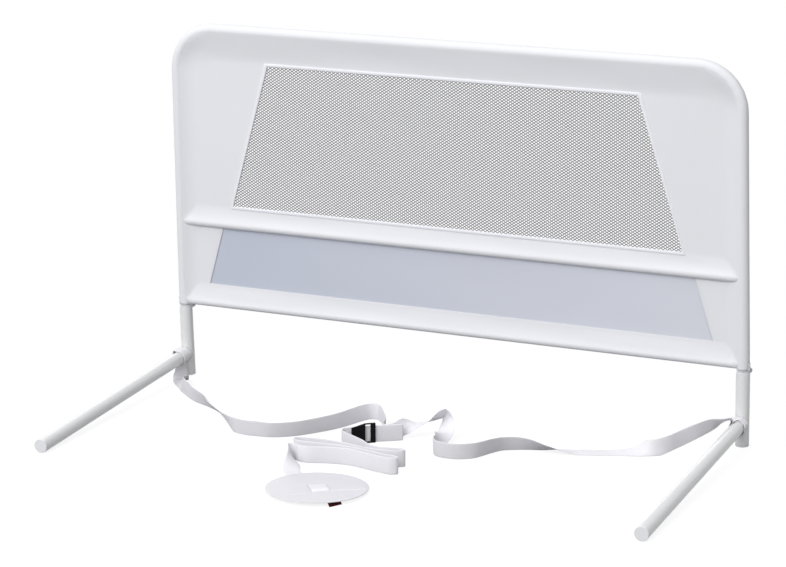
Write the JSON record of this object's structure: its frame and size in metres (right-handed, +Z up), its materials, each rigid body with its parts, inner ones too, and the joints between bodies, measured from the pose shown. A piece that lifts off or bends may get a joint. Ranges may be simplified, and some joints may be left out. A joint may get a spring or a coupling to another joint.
{
  "type": "folding bed guard rail",
  "caption": "Folding bed guard: a cloth cover with a net window on a bent tube frame, hinged on posts with arms for under the mattress, and an adjustable anchor strap with a disc.",
  "frame": {"origin": "bottom centre of the rail as it stands, without the loose strap, its buckle and its disc", "axes": "+X along the guard to the right as seen from the mattress, +Y away from the mattress, +Z up"},
  "size_m": [1.0912, 0.6084, 0.6656],
  "materials": {
    "enamel": "gloss enamel",
    "bare_steel": "plain drawn steel",
    "white_moulding": "satin moulding",
    "cover_cloth": "plain weave",
    "net": "open knitted net",
    "binding_tape": "woven tape",
    "window_cloth": "thin plain weave",
    "webbing": "flat woven webbing",
    "black_moulding": "satin moulding",
    "plate": "satin moulding",
    "label_cloth": "bare woven label"
  },
  "bodies": {
    "base": {"hinge_collar_left": "white_moulding", "hinge_collar_right": "white_moulding", "hinge_pin_left": "bare_steel", "hinge_pin_right": "bare_steel", "lower_post_left": "enamel", "lower_post_right": "enamel", "foot_cap_left": "white_moulding", "foot_cap_right": "white_moulding", "arm_tube_left": "enamel", "arm_tube_right": "enamel", "arm_insert_left": "white_moulding", "arm_insert_right": "white_moulding", "arm_bolt_left": "bare_steel", "arm_bolt_right": "bare_steel", "arm_end_cap_left": "white_moulding", "arm_end_cap_right": "white_moulding", "strap_loop_left": "webbing", "strap_loop_right": "webbing", "cross_strap": "webbing", "buckle_loop": "webbing", "buckle": "black_moulding", "tail_strap": "webbing", "anchor_disc": "plate", "disc_label": "label_cloth"},
    "guard": {"guard_frame_tube": "enamel", "middle_bar": "bare_steel", "bottom_bar": "bare_steel", "middle_bar_plug_left": "white_moulding", "middle_bar_plug_right": "white_moulding", "bottom_bar_plug_left": "white_moulding", "bottom_bar_plug_right": "white_moulding", "fabric_cover": "cover_cloth", "mesh_window": "net", "mesh_binding": "binding_tape", "lower_window": "window_cloth", "hinge_socket_left": "white_moulding", "hinge_socket_right": "white_moulding", "button_spring_left": "bare_steel", "button_spring_right": "bare_steel"},
    "left_button": {"release_button_left": "white_moulding"},
    "right_button": {"release_button_right": "white_moulding"}
  },
  "joints": [
    {"name": "guard_fold", "type": "hinge", "parent": "base", "child": "guard", "pos_m": [0, 0.26462, 0.13239], "axis": [-1, 0, 0], "range_deg": [0, 180]},
    {"name": "left_button_press", "type": "slide", "parent": "guard", "child": "left_button", "axis": [1, 0, 0], "range_m": [0, 0.004], "stiffness_N_per_m": 400, "springref_m": -0.006, "deforming": ["button_spring_left"]},
    {"name": "right_button_press", "type": "slide", "parent": "guard", "child": "right_button", "axis": [-1, 0, 0], "range_m": [0, 0.004], "stiffness_N_per_m": 400, "springref_m": -0.006, "deforming": ["button_spring_right"]}
  ]
}
